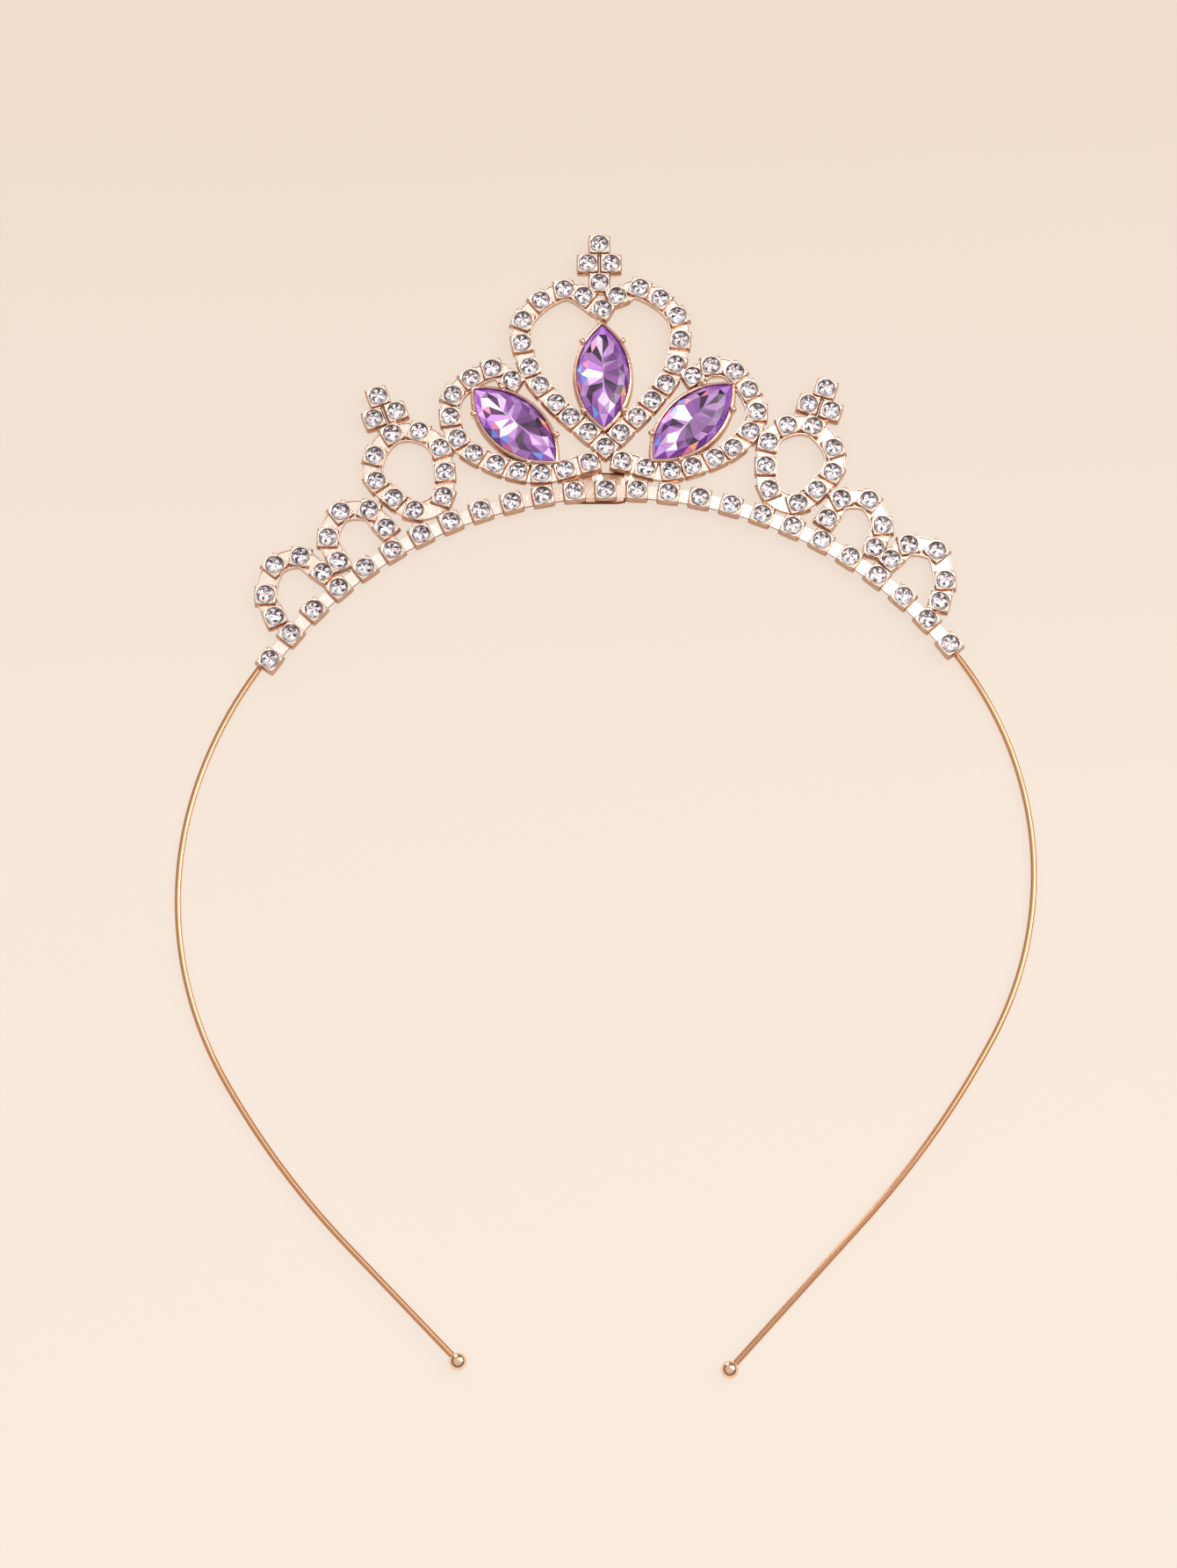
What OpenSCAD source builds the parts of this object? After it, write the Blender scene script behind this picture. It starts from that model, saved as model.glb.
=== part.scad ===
// Mini crown headband. A hoop of round wire for the hair carries a flat crown on its bend.
// The crown is one soldered frame of square cups with round clear stones, in a heart, two leaves,
// two ovals, two arches and two end loops, with three crosses and three pointed violet stones.
// It lies on its back: the crown's tip points to +Y, its stones face +Z, and it rests on z = 0
// with the hoop's top and the two end balls. The crown's own frame has its origin on the base
// chain's highest point and z = 0 on the crown's back.

/* [Headband wire] */
// Radius of the hoop's round top, to the middle of the wire
band_r = 55; // [53:0.5:58]
// Thickness of the wire
wire_d = 0.9; // [0.8:0.05:1.1]
// Straight end of the left leg
left_tip = 20; // [13:1:27]
// Straight end of the right leg
right_tip = 25; // [18:1:32]
// Diameter of the ball on each end of the wire
ball_d = 2.3; // [2:0.1:3]

/* [Crown] */
// How far the base chain lies outside the top of the hoop
crown_rise = 0.15; // [0:0.05:0.4]
// Thickness of the crown's flat back
back_t = 0.3; // [0.25:0.05:0.4]
// Length of the plate behind the middle of the base chain
tab_l = 7.5; // [6:0.5:9]
// Width of the plate behind the middle of the base chain
tab_w = 4.1; // [4:0.1:4.6]
// Diameter of a solder spot between two neighbouring forms
solder_d = 2.2; // [2.1:0.1:2.6]
// Widest slit between two cups that the solder closes
solder_slit = 0.2; // [0.1:0.05:0.3]

/* [Square cups] */
// Side of a cup at its walls
cup_w = 2.9; // [2.8:0.05:3]
// How far the foot of a cup stands out past its walls
cup_foot = 0.1; // [0.05:0.05:0.15]
// Height of a cup, from the crown's back to its rim
cup_h = 1.2; // [1.1:0.05:1.4]
// Distance from the base chain's middle cup to the next, along the chain
base_pitch = 4.2; // [4.1:0.02:4.3]
// How much that distance grows from each cup to the next, towards the ends
base_growth = 0.03; // [0:0.005:0.03]
// How far the base chain's middle cup sits left of the crown's middle
base_slide = 1.34; // [0:0.02:1.5]
// Width of the plates between the cups of the base chain
link_w = 2; // [1.6:0.1:2.4]
// Slit between the two side cups of a cross
cross_slit = 0.26; // [0.1:0.02:0.4]

/* [Round stones] */
// Diameter of a round stone
stone_d = 2.35; // [2.2:0.05:2.4]
// Height of a round stone above its widest line
stone_top = 0.4; // [0.35:0.01:0.5]
// Depth of its widest line under the cup's rim
stone_sink = 0.12; // [0.08:0.02:0.2]

/* [Pointed stones] */
// Length of a pointed stone
navette_l = 15; // [14.4:0.1:15.2]
// Width of a pointed stone
navette_w = 7; // [6.6:0.1:7.2]
// Height of a pointed stone above its widest line
navette_top = 1.2; // [1:0.05:1.4]
// Depth of its widest line under the setting's rim
navette_sink = 0.2; // [0.1:0.05:0.3]
// Wall of the setting
rim_t = 0.5; // [0.4:0.05:0.6]
// Height of the setting, from the crown's back to its rim
rim_h = 1.5; // [1.4:0.05:1.8]
// Thickness of a prong
prong_d = 0.65; // [0.55:0.05:0.75]
// Diameter of the bead on a prong
prong_bead = 0.95; // [0.8:0.05:1.05]
// Distance of the prongs from the middle of the stone, along it
prong_along = 5.1; // [4.6:0.1:5.5]

/* [Fits] */
// Space between a stone and its seat
stone_gap = 0.06; // [0.04:0.01:0.08]
// Space between the wire and what it touches
wire_gap = 0.05; // [0.04:0.01:0.08]

/* [Hidden] */

// Bends of each leg from the top of the hoop down: radius as a share of band_r, turn in degrees
left_bends = [[1.035, 74.5], [0.918, 45.5], [2.01, 14]];
right_bends = [[1.01, 51], [0.89, 68], [2.27, 13.5]];

// Cups of the base chain on each side of its middle cup
base_side = 12;

// Routes of the scrolls, one row for each chosen point: x and y from the base cup that the
// scroll stands over, and the number of cups from this point up to the next one
heart_left_route = [
  [-0.4, 26.6, 2], [-5.6, 29.5, 2], [-11.2, 24.9, 2], [-10.3, 17.9, 2], [-6.7, 12.6, 3], [0, 6.2, 1]
];
heart_right_route = [
  [1.6, 28.5, 1], [4.7, 29.7, 2], [9.8, 25.5, 2], [9.5, 18.3, 2], [6.3, 13, 2], [2, 8.2, 1]
];
leaf_left_route = [
  [-12.6, 16, 1], [-15.3, 17.7, 2], [-20.6, 13.8, 2], [-19.9, 7.4, 2], [-14.7, 3.7, 2],
  [-8.6, 2.3, 2], [-2.2, 3.9, 1]
];
leaf_right_route = [
  [11.8, 16.6, 1], [14.3, 18.1, 1], [17.5, 17.2, 2], [20.4, 11.3, 2], [17.1, 6, 3],
  [8.8, 2.7, 2], [2.2, 4.1, 1]
];
oval_left_route = [
  [-4.1, 14.6, 1], [-0.5, 14.9, 1], [2.4, 12.5, 2], [2.9, 5.5, 1], [-0.9, 3.5, 2], [-6.1, 7.7, 1],
  [-6.4, 11.4, 1]
];
oval_right_route = [
  [3.1, 14.5, 1], [-0.4, 14.6, 1], [-3, 12.2, 2], [-3, 5.3, 1], [0.8, 3.3, 2], [5.5, 7.8, 1],
  [5.7, 11.3, 1]
];
arch_left_route = [[2.7, 5.7, 1], [0.4, 8.3, 1], [-3.4, 8, 1], [-5, 4.3, 1], [-3.5, 0.9, 1]];
arch_right_route = [[-2.9, 5.5, 1], [-1, 8.3, 1], [2.7, 8.1, 1], [4.4, 4.5, 1], [3.3, 1.3, 1]];
end_left_route = [[4, 8.7, 1], [1, 10.9, 1], [-2.4, 9.7, 1], [-3.5, 5.5, 1], [-2.2, 2.4, 1]];
end_right_route = [[-4.6, 8.5, 1], [-2.2, 10.6, 1], [1.5, 9.7, 1], [2.5, 5.5, 1], [1.7, 2.5, 1]];

// Base cups, counted from the middle one, that the ovals, arches and end loops stand over
oval_foot = 6;
arch_foot = 8;
end_foot = 11;

// Lowest cup of the centre cross, from the base's middle cup
cross_foot = [-0.8, 30.5];
// How far each cross leans, to the left
left_lean = 20;
right_lean = -18;

// Pointed stones: x and y of the middle from the base's middle cup, and how far the stone leans
centre_seat = [-0.3, 16.4, 1];
left_seat = [-12.15, 9.25, 46.5];
right_seat = [11.7, 9.7, -44.5];

// Middle of the plate behind the base chain, from the base's middle cup
tab_place = [-1.1, 0.5];

// Sides of the wire, and the distance between its stations in a bend
wire_sides = 12;
ring_step = 3;
// Sides of the round stones and of one flank of a pointed stone
stone_sides = 10;
flank_sides = 8;
// The flat table's share of a stone's width
stone_table = 0.58;
navette_table = 0.55;
// Height inside the flat back from which the walls of cups and settings rise
wall_z = back_t / 2;
// Thin skin on the flat back, and the way that a bore is cut past the walls
skin = 0.01;

wire_r = wire_d / 2;
ball_r = ball_d / 2;
// The side of a cup's foot
foot_w = cup_w + 2 * cup_foot;
flank_r = (pow(navette_l, 2) + pow(navette_w, 2)) / (4 * navette_w);
flank_x = flank_r - navette_w / 2;
flank_turn = asin(navette_l / 2 / flank_r);
// The setting's outside, past the stone's edge, and the feet of its prongs
rim_out = stone_gap + rim_t;
prong_x = sqrt(pow(flank_r + rim_out, 2) - pow(prong_along, 2)) - flank_x;
prong_feet = [for (x = [-prong_x, prong_x]) for (y = [-prong_along, prong_along]) [x, y]];

metal = "#e8b597";
clear_stone = "#e9eef6";
violet_stone = "#a67fdc";

// Places along the wire

// A leg's point and heading after one more bend: [x, y, degrees turned from +X toward -Y]
function bent(at, bend) =
  let (r = bend[0] * band_r, end = at[2] + bend[1])
  [at[0] + r * (sin(end) - sin(at[2])), at[1] + r * (cos(end) - cos(at[2])), end];
function leg_at(bends, count) = count == 0 ? [0, 0, 0] : bent(leg_at(bends, count - 1), bends[count - 1]);
function leg_end(bends, tip) =
  let (at = leg_at(bends, len(bends)))
  [at[0] + tip * cos(at[2]), at[1] - tip * sin(at[2]), at[2]];
// Stations down a leg, about ring_step apart in the bends, with the end of its straight tip last
function leg_path(bends, tip) =
  concat(
    [for (i = [0:len(bends) - 1])
      let (
        at = leg_at(bends, i),
        steps = ceil(bends[i][0] * band_r * bends[i][1] * PI / 180 / ring_step)
      )
      for (k = [0:steps - 1]) bent(at, [bends[i][0], bends[i][1] * k / steps])],
    [leg_at(bends, len(bends)), leg_end(bends, tip)]
  );
function mirrored(path) = [for (i = [len(path) - 1:-1:1]) [-path[i][0], path[i][1], -path[i][2]]];
// A leg's widest reach from the hoop's top, which lies in its second bend
function leg_reach(bends) =
  band_r * (bends[0][0] * sin(bends[0][1]) + bends[1][0] * (1 - sin(bends[0][1]))) + wire_r;

left_end = leg_end(left_bends, left_tip);
right_end = leg_end(right_bends, right_tip);
wire_path = concat(mirrored(leg_path(left_bends, left_tip)), leg_path(right_bends, right_tip));

// Places of the cups: [x, y, heading]

function base_cup(count) =
  let (
    // The steps from the middle cup up to this one, each longer than the last by base_growth
    way = count * base_pitch + base_growth * count * (abs(count) - 1) / 2,
    turn = (way - base_slide) / band_r * 180 / PI
  )
  [band_r * sin(turn), band_r * (cos(turn) - 1), -turn];
// A smooth curve through b and c, with its neighbours a and d, and its direction
function through(a, b, c, d, t) =
  (2 * b + (c - a) * t + (2 * a - 5 * b + 4 * c - d) * t * t + (3 * b - 3 * c + d - a) * t * t * t) / 2;
function along(a, b, c, d, t) =
  ((c - a) + 2 * (2 * a - 5 * b + 4 * c - d) * t + 3 * (3 * b - 3 * c + d - a) * t * t) / 2;
// Point i of a route. Past an open route's ends the last step is repeated
function point(route, i, closed) =
  let (n = len(route), k = closed ? (i + n) % n : max(0, min(n - 1, i)), p = [route[k][0], route[k][1]])
  k == i || closed ? p : 2 * p - point(route, 2 * k - i, closed);
function scroll(foot, route, closed = false) =
  let (origin = base_cup(foot))
  [for (i = [0:len(route) - 1]) for (j = [0:route[i][2] - 1])
    let (
      t = j / route[i][2],
      a = point(route, i - 1, closed),
      b = point(route, i, closed),
      c = point(route, i + 1, closed),
      d = closed ? point(route, i + 2, closed) : i + 2 > len(route) - 1 ? 2 * c - b : point(route, i + 2, closed),
      p = through(a, b, c, d, t),
      v = along(a, b, c, d, t)
    )
    [origin[0] + p[0], origin[1] + p[1], atan2(v[1], v[0])]];
// The two side cups and the top cup of a cross that stands on the cup at foot
function cross_top(foot, lean) =
  [for (place = [[-0.5, 1], [0.5, 1], [0, 2]])
    let (x = place[0] * (cup_w + cross_slit), y = place[1] * cup_w)
    [foot[0] + x * cos(lean) - y * sin(lean), foot[1] + x * sin(lean) + y * cos(lean), lean]];

base_cups = [for (count = [-base_side:base_side]) base_cup(count)];
heart_left = scroll(0, heart_left_route);
heart_right = scroll(0, heart_right_route);
heart = concat(heart_left, heart_right);
leaf_left = scroll(0, leaf_left_route);
leaf_right = scroll(0, leaf_right_route);
oval_left = scroll(-oval_foot, oval_left_route, true);
oval_right = scroll(oval_foot, oval_right_route, true);
arch_left = scroll(-arch_foot, arch_left_route);
arch_right = scroll(arch_foot, arch_right_route);
end_left = scroll(-end_foot, end_left_route);
end_right = scroll(end_foot, end_right_route);
middle = base_cup(0);
centre_foot = [middle[0] + cross_foot[0], middle[1] + cross_foot[1], 0];
centre_cross = concat([centre_foot], cross_top(centre_foot, 0));
left_cross = cross_top(oval_left[0], left_lean);
right_cross = cross_top(oval_right[0], right_lean);
seats = [for (seat = [centre_seat, left_seat, right_seat])
  [middle[0] + seat[0], middle[1] + seat[1], seat[2]]];

scrolls = [heart_left, heart_right, leaf_left, leaf_right, arch_left, arch_right, end_left, end_right];
rings = [oval_left, oval_right];
crosses = [centre_cross, left_cross, right_cross];
all_cups = concat(base_cups, [for (list = concat(scrolls, rings, crosses)) each list]);

// Points of a setting: side 1 is the end that leans outward, side -1 the one nearest the base
function seat_tip(seat, side) =
  let (reach = side * navette_l / 2) [seat[0] - reach * sin(seat[2]), seat[1] + reach * cos(seat[2])];
function flat(p) = [p[0], p[1]];
function gap(a, b) = norm(flat(a) - flat(b));
// The middle of the shortest step from one list of places to another
function bridge(from, to) =
  let (
    pairs = [for (a = from) for (b = to) [gap(a, b), (flat(a) + flat(b)) / 2]],
    least = min([for (pair = pairs) pair[0]])
  )
  [for (pair = pairs) if (pair[0] == least) pair[1]][0];
function ends(list) = [[list[0]], [list[len(list) - 1]]];

solder_spots = concat(
  [for (arch = [arch_left, arch_right, end_left, end_right]) for (end = ends(arch)) bridge(end, base_cups)],
  [for (leaf = [leaf_left, leaf_right]) for (end = ends(leaf)) bridge(end, heart)],
  [for (leaf = [leaf_left, leaf_right]) bridge([leaf[len(leaf) - 1]], base_cups)],
  [bridge(oval_left, leaf_left), bridge(oval_right, leaf_right)],
  [bridge(oval_left, base_cups), bridge(oval_right, base_cups)],
  [bridge([left_cross[0]], oval_left), bridge([left_cross[1]], oval_left)],
  [bridge([right_cross[0]], oval_right), bridge([right_cross[1]], oval_right)],
  [bridge(arch_left, end_left), bridge(arch_right, end_right)],
  [for (side = [-1, 1]) bridge([seat_tip(seats[0], side)], heart)],
  [for (side = [-1, 1]) bridge([seat_tip(seats[1], side)], leaf_left)],
  [for (side = [-1, 1]) bridge([seat_tip(seats[2], side)], leaf_right)]
);

// How the part lies

// The hoop's top is lower than the end balls' middles by the difference of their radii
incline = asin((ball_r - wire_r) / -((left_end[1] + right_end[1]) / 2));
crown_top = crown_rise + centre_cross[len(centre_cross) - 1][1] + foot_w / 2;
leg_bottom = min(left_end[1], right_end[1]) - ball_r;
middle_x = (leg_reach(right_bends) - leg_reach(left_bends)) / 2;
middle_y = (crown_top + leg_bottom) / 2;

module laid() {
  translate([-middle_x, -middle_y, wire_r]) rotate([-incline, 0, 0]) children();
}
module on_crown() {
  laid() translate([0, crown_rise, wire_r + wire_gap]) children();
}
module at_cup(cup, z = 0) {
  translate([cup[0], cup[1], z]) rotate([0, 0, cup[2]]) children();
}

// The wire and its end balls

module headband_wire() {
  n = len(wire_path);
  color(metal) laid() polyhedron(
    points = [for (at = wire_path) for (k = [0:wire_sides - 1])
      let (angle = k * 360 / wire_sides, side = wire_r * cos(angle))
      [at[0] + side * sin(at[2]), at[1] + side * cos(at[2]), wire_r * sin(angle)]],
    faces = concat(
      [[for (k = [wire_sides - 1:-1:0]) k]],
      [[for (k = [0:wire_sides - 1]) (n - 1) * wire_sides + k]],
      [for (i = [0:n - 2]) for (k = [0:wire_sides - 1])
        let (here = i * wire_sides, next = here + wire_sides, turned = (k + 1) % wire_sides)
        [here + k, here + turned, next + turned, next + k]]
    )
  );
}
// A ball centred on the leg's end, drilled from the leg's side to just past its middle
module end_ball(end) {
  translate([end[0], end[1], 0]) rotate([0, 90, -end[2]]) difference() {
    sphere(d = ball_d, $fn = 72);
    translate([0, 0, -ball_d]) cylinder(d = wire_d + 2 * wire_gap, h = ball_d + wire_gap, $fn = 48);
  }
}
module left_ball() {
  color(metal) laid() mirror([1, 0, 0]) end_ball(left_end);
}
module right_ball() {
  color(metal) laid() end_ball(right_end);
}

// The crown's frame

module cup_outlines(cups, side) {
  for (cup = cups) translate(flat(cup)) rotate(cup[2]) square(side, center = true);
}
// A plate from the middle of one cup to the middle of the next, as wide as given
module link(from, to, width) {
  a = [-sin(from[2]), cos(from[2])] * width / 2;
  b = [-sin(to[2]), cos(to[2])] * width / 2;
  polygon([flat(from) - a, flat(to) - b, flat(to) + b, flat(from) + a]);
}
module links(cups, width, closed = false) {
  for (i = [0:len(cups) - (closed ? 1 : 2)])
    link(cups[i], cups[(i + 1) % len(cups)], width);
}
module navette_outline(grow = 0) {
  intersection() {
    translate([flank_x, 0]) circle(r = flank_r + grow, $fn = 120);
    translate([-flank_x, 0]) circle(r = flank_r + grow, $fn = 120);
  }
}
module back_layer() {
  offset(delta = skin) union() {
    cup_outlines(all_cups, foot_w);
    links(base_cups, link_w);
    for (list = scrolls) links(list, cup_w);
    for (list = rings) links(list, cup_w, true);
    translate(flat(middle) + tab_place) square([tab_l, tab_w], center = true);
    for (spot = solder_spots) translate(spot) circle(d = solder_d, $fn = 24);
    for (seat = seats) translate(flat(seat)) rotate(seat[2]) {
      navette_outline(rim_out);
      for (foot = prong_feet) translate(foot) circle(d = prong_d, $fn = 24);
    }
  }
}
module cup_outsides() {
  offset(delta = -solder_slit / 2) offset(delta = solder_slit / 2) cup_outlines(all_cups, cup_w);
}
// The round holes of the cups, from just under z = 0 up through everything above
module bores() {
  for (cup = all_cups) translate([cup[0], cup[1], -skin])
    cylinder(d = stone_d + 2 * stone_gap, h = rim_h + prong_bead, $fn = 64);
}
// The hole of a setting, in the outline of its stone
module seat_hole() {
  translate([0, 0, -skin]) linear_extrude(rim_h) navette_outline(stone_gap);
}
// A setting's outer block, and four prongs on its flanks
module setting_block() {
  linear_extrude(rim_h - wall_z) navette_outline(rim_out);
  for (foot = prong_feet) translate(foot) {
    cylinder(d = prong_d, h = rim_h - wall_z, $fn = 32);
    translate([0, 0, rim_h - wall_z]) sphere(d = prong_bead, $fn = 32);
  }
}
// The walls rise from inside the flat back. The holes are cut last, so that no cup or setting
// reaches into its neighbour's stone
module walls() {
  difference() {
    union() {
      linear_extrude(cup_h - wall_z) cup_outsides();
      for (seat = seats) at_cup(seat) setting_block();
    }
    bores();
    for (seat = seats) at_cup(seat) seat_hole();
  }
}
module crown_frame() {
  color(metal) on_crown() union() {
    linear_extrude(back_t) back_layer();
    translate([0, 0, wall_z]) walls();
  }
}

// The stones: a flat table, a belt of crown facets and a pointed pavilion under the widest line

function ring(points, z, share) = [for (p = points) [p[0] * share, p[1] * share, z]];
// The table's corners sit over the middles of the widest line's sides when turned is true
module cut_stone(outline, inner, top, depth) {
  n = len(outline);
  polyhedron(
    points = concat([[0, 0, -depth]], ring(outline, 0, 1), ring(inner, top, 1)),
    faces = concat(
      [[for (i = [n:-1:1]) n + i]],
      [for (i = [0:n - 1]) [n + 1 + i, n + 1 + (i + 1) % n, 1 + (i + 1) % n]],
      [for (i = [0:n - 1]) [n + 1 + i, 1 + (i + 1) % n, 1 + i]],
      [for (i = [0:n - 1]) [0, 1 + i, 1 + (i + 1) % n]]
    )
  );
}
function circle_points(d, turn) =
  [for (i = [0:stone_sides - 1])
    let (angle = turn + i * 360 / stone_sides) [d / 2 * cos(angle), d / 2 * sin(angle)]];
function flank_points() =
  [for (side = [1, -1]) for (i = [0:flank_sides - 1])
    let (angle = flank_turn * (2 * i / flank_sides - 1))
    side * [flank_r * cos(angle) - flank_x, flank_r * sin(angle)]];
module round_stones(cups) {
  girdle_z = cup_h - stone_sink;
  color(clear_stone) on_crown() for (cup = cups) at_cup(cup, girdle_z)
    cut_stone(
      circle_points(stone_d, 0),
      circle_points(stone_d * stone_table, -180 / stone_sides),
      stone_top,
      girdle_z - back_t - stone_gap
    );
}
module navette(seat) {
  girdle_z = rim_h - navette_sink;
  outline = flank_points();
  color(violet_stone) on_crown() at_cup(seat, girdle_z)
    cut_stone(outline, outline * navette_table, navette_top, girdle_z - back_t - stone_gap);
}

headband_wire();
left_ball();
right_ball();
crown_frame();
round_stones(base_cups);  // base_stones
round_stones(heart);  // heart_stones
round_stones(centre_cross);  // centre_cross_stones
round_stones(leaf_left);  // left_leaf_stones
round_stones(leaf_right);  // right_leaf_stones
round_stones(oval_left);  // left_oval_stones
round_stones(oval_right);  // right_oval_stones
round_stones(left_cross);  // left_cross_stones
round_stones(right_cross);  // right_cross_stones
round_stones(arch_left);  // left_arch_stones
round_stones(arch_right);  // right_arch_stones
round_stones(end_left);  // left_end_stones
round_stones(end_right);  // right_end_stones
navette(seats[0]);  // centre_navette
navette(seats[1]);  // left_navette
navette(seats[2]);  // right_navette
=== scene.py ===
import bpy
import bmesh
import numpy as np
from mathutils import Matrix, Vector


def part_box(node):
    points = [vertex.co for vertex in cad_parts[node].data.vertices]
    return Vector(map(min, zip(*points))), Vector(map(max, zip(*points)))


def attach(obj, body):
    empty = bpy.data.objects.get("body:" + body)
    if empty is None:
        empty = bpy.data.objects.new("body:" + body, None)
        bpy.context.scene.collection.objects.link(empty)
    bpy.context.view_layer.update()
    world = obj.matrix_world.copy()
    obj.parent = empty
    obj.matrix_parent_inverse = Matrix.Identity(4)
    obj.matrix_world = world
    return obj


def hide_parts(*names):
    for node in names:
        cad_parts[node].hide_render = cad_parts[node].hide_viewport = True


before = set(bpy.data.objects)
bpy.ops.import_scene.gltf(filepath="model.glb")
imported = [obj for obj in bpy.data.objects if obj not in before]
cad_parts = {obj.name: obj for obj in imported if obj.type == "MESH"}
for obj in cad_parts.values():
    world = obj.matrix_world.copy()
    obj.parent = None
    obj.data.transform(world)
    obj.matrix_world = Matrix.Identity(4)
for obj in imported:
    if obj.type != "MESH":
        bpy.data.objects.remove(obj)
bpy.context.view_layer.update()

# The headband. The real one is a hoop of round spring steel wire, plated rose gold. It was bent by
# hand round a former, so its two legs differ a little, and it lies on the surface by its top.
# Sizes here are in millimetres, in the hoop's own frame: its top at the origin and its legs down -Y.
MM = 0.001
BAND_R = 55.0
WIRE_R = 0.45
BALL_R = 1.15
# Each bend: its radius as a share of BAND_R, and its turn in degrees
LEFT_BENDS = ((1.035, 74.5), (0.918, 45.5), (2.01, 14.0))
RIGHT_BENDS = ((1.01, 51.0), (0.89, 68.0), (2.27, 13.5))
# The straight length at the end of each leg
LEFT_TIP = 20.0
RIGHT_TIP = 25.0
TIP_STEPS = 9
WIRE_SIDES = 20
# The angle between two faces, in radians, from which their shared edge looks sharp
SHARP = 0.7


def leg(bends, tip):
    """Stations down one leg from the hoop's top, as rows of x, y and heading (from +X toward -Y).

    They are about a millimetre apart in the bends. Along a bend of radius r the point moves by
    r (sin h - sin h0, cos h - cos h0) while the heading goes from h0 to h, and after the last bend it
    goes straight on for the length of the tip."""
    x, y, heading = 0.0, 0.0, 0.0
    stretches = []
    for share, turn in bends:
        r = share * BAND_R
        h = heading + np.radians(turn) * np.linspace(0, 1, int(share * turn) + 1)
        stretch = np.stack([
            x + r * (np.sin(h) - np.sin(heading)), y + r * (np.cos(h) - np.cos(heading)), h], 1)
        stretches.append(stretch[:-1])
        x, y, heading = stretch[-1]
    way = np.linspace(0, tip, TIP_STEPS)
    stretches.append(np.stack([x + way * np.cos(heading), y - way * np.sin(heading), heading + 0 * way], 1))
    return np.concatenate(stretches)


left_leg = leg(LEFT_BENDS, LEFT_TIP) * [-1, 1, -1]
right_leg = leg(RIGHT_BENDS, RIGHT_TIP)
hoop = np.concatenate([left_leg[:0:-1], right_leg])

# The hoop's top lies lower than the balls' middles by the difference of their radii, which tips it.
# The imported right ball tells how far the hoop's top lies from the middle of the whole part's box
ball_low, ball_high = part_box("right_ball")
INCLINE = -np.arcsin((BALL_R - WIRE_R) / ((left_leg[-1, 1] + right_leg[-1, 1]) / 2))
MIDDLE_X = (hoop[:, 0].min() + hoop[:, 0].max()) / 2
MIDDLE_Y = right_leg[-1, 1] * np.cos(INCLINE) - (ball_low[1] + ball_high[1]) / 2 / MM


def laid(points):
    """Points of the hoop's frame in mm, as the part lies, in metres.

    They are turned about X by the incline, raised by the wire's radius and moved to the origin."""
    x, y, z = np.moveaxis(np.asarray(points, float), -1, 0)
    c, s = np.cos(INCLINE), np.sin(INCLINE)
    return MM * np.stack([x - MIDDLE_X, c * y + s * z - MIDDLE_Y, c * z - s * y + WIRE_R], -1)


def grid_faces(rows, cols, closed=False, ring=True):
    """Quads of a grid of rows by cols points: each point joins the next in its row and in the next row.

    ring closes every row on itself, and closed joins the last row to the first."""
    r = np.arange(rows if closed else rows - 1)[:, None]
    c = np.arange(cols if ring else cols - 1)[None, :]
    here, there = r * cols, (r + 1) % rows * cols
    after = (c + 1) % cols
    return np.stack([here + c, here + after, there + after, there + c], -1).reshape(-1, 4)


def joined(parts):
    """One shape from several, each a pair of points and a list of index arrays."""
    points, faces, start = [], [], 0
    for part_points, part_faces in parts:
        part_points = np.asarray(part_points).reshape(-1, 3)
        points.append(part_points)
        faces += [np.asarray(group) + start for group in part_faces]
        start += len(part_points)
    return np.concatenate(points), faces


def piece(name, points, faces, material, node, colours=None, normals=None):
    """A mesh piece on the part's body, in metres, which stands for a CAD node and hides it.

    A cut stone's colours and inner normals are given for each facet, and its facets stay flat. Any
    other piece is smooth up to its sharp edges."""
    mesh = bpy.data.meshes.new(name)
    mesh.from_pydata(points.tolist(), [], [face for group in faces for face in group.tolist()])
    if colours is None:
        solid = bmesh.new()
        solid.from_mesh(mesh)
        bmesh.ops.recalc_face_normals(solid, faces=solid.faces)
        solid.to_mesh(mesh)
        solid.free()
        mesh.polygons.foreach_set("use_smooth", np.ones(len(mesh.polygons), bool))
        mesh.set_sharp_from_angle(angle=SHARP)
    else:
        shade = mesh.attributes.new("facet_colour", "FLOAT_COLOR", "FACE")
        shade.data.foreach_set("color", np.concatenate([colours, np.ones((len(colours), 1))], 1).ravel())
        lean = mesh.attributes.new("facet_normal", "FLOAT_VECTOR", "FACE")
        lean.data.foreach_set("vector", normals.ravel())
        mesh.polygons.foreach_set("use_smooth", np.zeros(len(mesh.polygons), bool))
    mesh.materials.append(material)
    body = bpy.data.objects.new(name, mesh)
    bpy.context.scene.collection.objects.link(body)
    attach(body, "root")
    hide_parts(node)


class Value:
    """A number that varies over a surface. Its maths adds Math nodes to the finish that it belongs to."""

    def __init__(self, finish, socket):
        self.finish = finish
        self.socket = socket

    def math(self, operation, other, clamp=False):
        settings = {"operation": operation, "use_clamp": clamp}
        return self.finish.node("ShaderNodeMath", settings, {0: self, 1: other})

    def __add__(self, other):
        return self.math("ADD", other)

    def __sub__(self, other):
        return self.math("SUBTRACT", other)

    def __mul__(self, other):
        return self.math("MULTIPLY", other)

    def __rsub__(self, other):
        return self.math("MULTIPLY", -1.0) + other

    __radd__ = __add__
    __rmul__ = __mul__

    def held(self):
        """The same number, held between 0 and 1."""
        return self.math("MULTIPLY", 1.0, clamp=True)


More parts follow.
